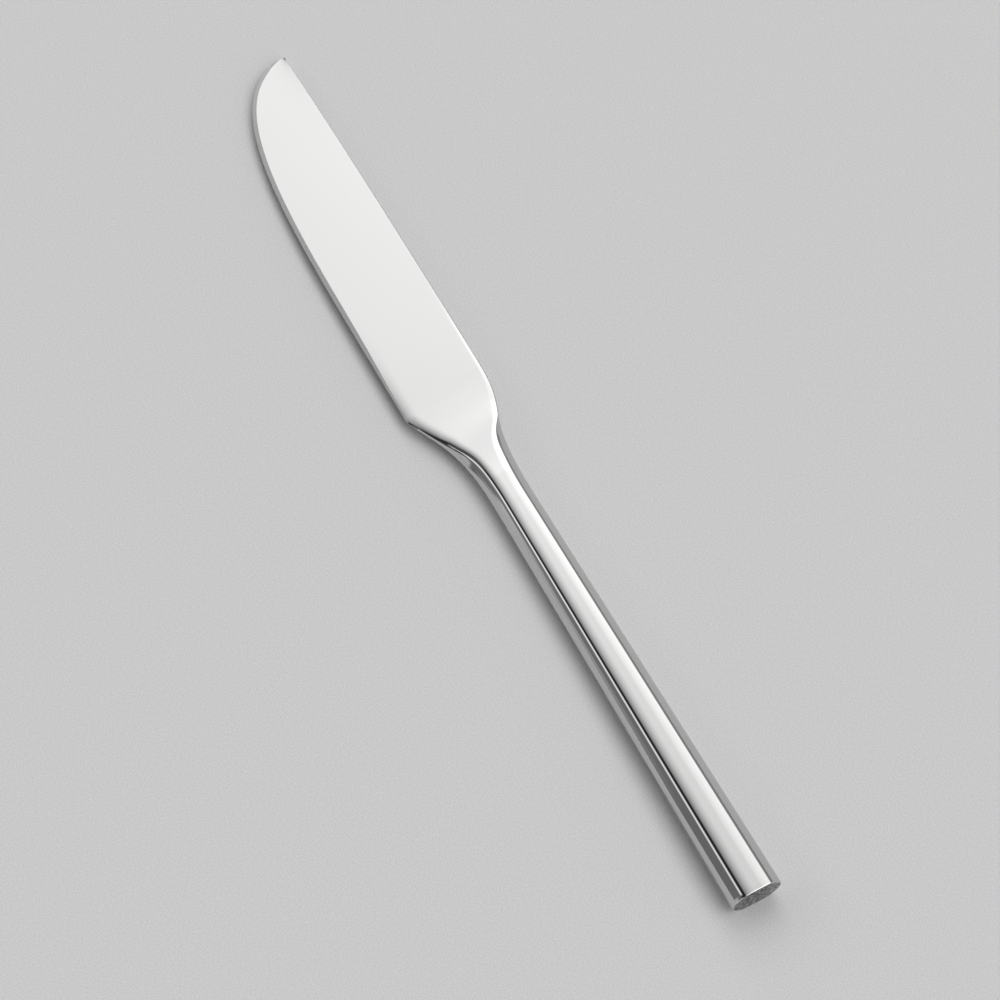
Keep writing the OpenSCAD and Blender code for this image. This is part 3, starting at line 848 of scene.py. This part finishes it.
class KNIFE_OT_stage(bpy.types.Operator):
    """Set up the pale floor, the soft studio light and the camera"""

    bl_idname = "knife.stage"
    bl_label = "Floor, light and camera"
    bl_options = {"REGISTER", "UNDO"}

    def execute(self, context):
        scene = context.scene
        k, studio = scene.knife_sizes, scene.knife_studio
        self.add_floor(scene, studio)
        self.add_light(scene, studio)
        self.add_camera(scene, k, studio)
        scene.view_settings.view_transform = "Standard"
        scene.view_settings.look = "None"
        return {"FINISHED"}

    def add_floor(self, scene, studio):
        """A wide level floor with a fine grain."""
        corners = np.array([[-1, -1, 0], [1, -1, 0], [1, 1, 0], [-1, 1, 0]], float) * FLOOR_REACH
        mesh = bpy.data.meshes.new("floor")
        mesh.from_pydata(corners.tolist(), [], [(0, 1, 2, 3)])
        mesh.materials.append(pale_floor("pale floor", studio))
        floor = bpy.data.objects.new("floor", mesh)
        scene.collection.objects.link(floor)

    def add_light(self, scene, studio):
        """A soft light all round, which is the sum of the studio's lights, with a plain backdrop for the camera."""
        world = bpy.data.worlds.new("studio")
        world.use_nodes = True
        scene.world = world
        where = add_node(world, "ShaderNodeTexCoord")
        parts = add_node(world, "ShaderNodeSeparateXYZ")
        link(world, where.outputs["Generated"], parts.inputs["Vector"])
        aside = maths(world, "MULTIPLY", parts.outputs["Y"], -1.0)
        turn = maths(world, "ARCTAN2", aside, parts.outputs["Z"])
        around = remap(world, turn, 0.0, 1.0, -math.pi, math.pi)
        along = remap(world, parts.outputs["X"], 0.0, 1.0, -1.0, 1.0)
        total = 0.0
        for round_stops, along_stops in LIGHTS:
            by_turn = light_ramp(world, around, round_stops, ROUND_REACH)
            by_rise = light_ramp(world, along, along_stops, ALONG_REACH)
            total = maths(world, "ADD", total, maths(world, "MULTIPLY", by_turn, by_rise))
        strength = maths(world, "MULTIPLY", total, LIGHT_SCALE * LIGHT_SCALE * studio.brightness)
        ray = add_node(world, "ShaderNodeLightPath")
        seen = add_node(world, "ShaderNodeMix", data_type="FLOAT", B=studio.backdrop)
        link(world, ray.outputs["Is Camera Ray"], seen.inputs["Factor"])
        link(world, strength, seen.inputs["A"])
        background = world.node_tree.nodes["Background"]
        background.inputs["Color"].default_value = (1.0, 1.0, 1.0, 1.0)
        link(world, seen.outputs["Result"], background.inputs["Strength"])

    def add_camera(self, scene, k, studio):
        """The camera leans back from straight down, and the knife's axis lies across its picture at the turn."""
        camera = bpy.data.cameras.new("camera")
        camera.sensor_width = FILM_WIDTH
        camera.lens = studio.focal / MM
        camera.clip_start, camera.clip_end = CLIP_START, CLIP_END
        eye = bpy.data.objects.new("camera", camera)
        scene.collection.objects.link(eye)
        tilt = studio.tilt
        lens = Matrix.Translation((0, -studio.distance * math.sin(tilt), studio.distance * math.cos(tilt)))
        picture = lens @ Matrix.Rotation(tilt, 4, "X")
        butt = Matrix.Translation((studio.butt_right, studio.butt_up, 0)) @ Matrix.Rotation(studio.turn, 4, "Z")
        knife = butt @ Matrix.Translation((k.knife_len / 2, (k.edge_off - k.spine_off) / 2, 0))
        eye.matrix_world = knife.inverted() @ picture
        scene.camera = eye


class KNIFE_PT_panel(bpy.types.Panel):
    """Sizes, finishes and steps of the knife"""

    bl_idname = "KNIFE_PT_panel"
    bl_label = "Table knife"
    bl_space_type = "VIEW_3D"
    bl_region_type = "UI"
    bl_category = "Table knife"

    def draw(self, context):
        for operator in OPERATORS:
            self.layout.operator(operator.bl_idname)
        for group in (context.scene.knife_sizes, context.scene.knife_finish, context.scene.knife_studio):
            box = self.layout.box()
            for name in group.__annotations__:
                box.prop(group, name)


GROUPS = (("knife_sizes", KnifeSizes), ("knife_finish", KnifeFinish), ("knife_studio", KnifeStudio))
OPERATORS = (KNIFE_OT_stage, KNIFE_OT_blade, KNIFE_OT_shells, KNIFE_OT_butt_cap, KNIFE_OT_brazes, KNIFE_OT_filler)


def register():
    """Registers the classes and hangs each group of settings on the scene."""
    for name, group in GROUPS:
        bpy.utils.register_class(group)
        setattr(bpy.types.Scene, name, bpy.props.PointerProperty(type=group))
    for item in (*OPERATORS, KNIFE_PT_panel):
        bpy.utils.register_class(item)


def unregister():
    """Takes the classes and the settings away again."""
    for item in reversed((*OPERATORS, KNIFE_PT_panel)):
        bpy.utils.unregister_class(item)
    for name, group in reversed(GROUPS):
        delattr(bpy.types.Scene, name)
        bpy.utils.unregister_class(group)


def main():
    """Builds everything in order."""
    register()
    bpy.ops.knife.stage()
    bpy.ops.knife.blade()
    bpy.ops.knife.shells()
    bpy.ops.knife.butt_cap()
    bpy.ops.knife.brazes()
    bpy.ops.knife.filler()


if __name__ == "__main__":
    main()
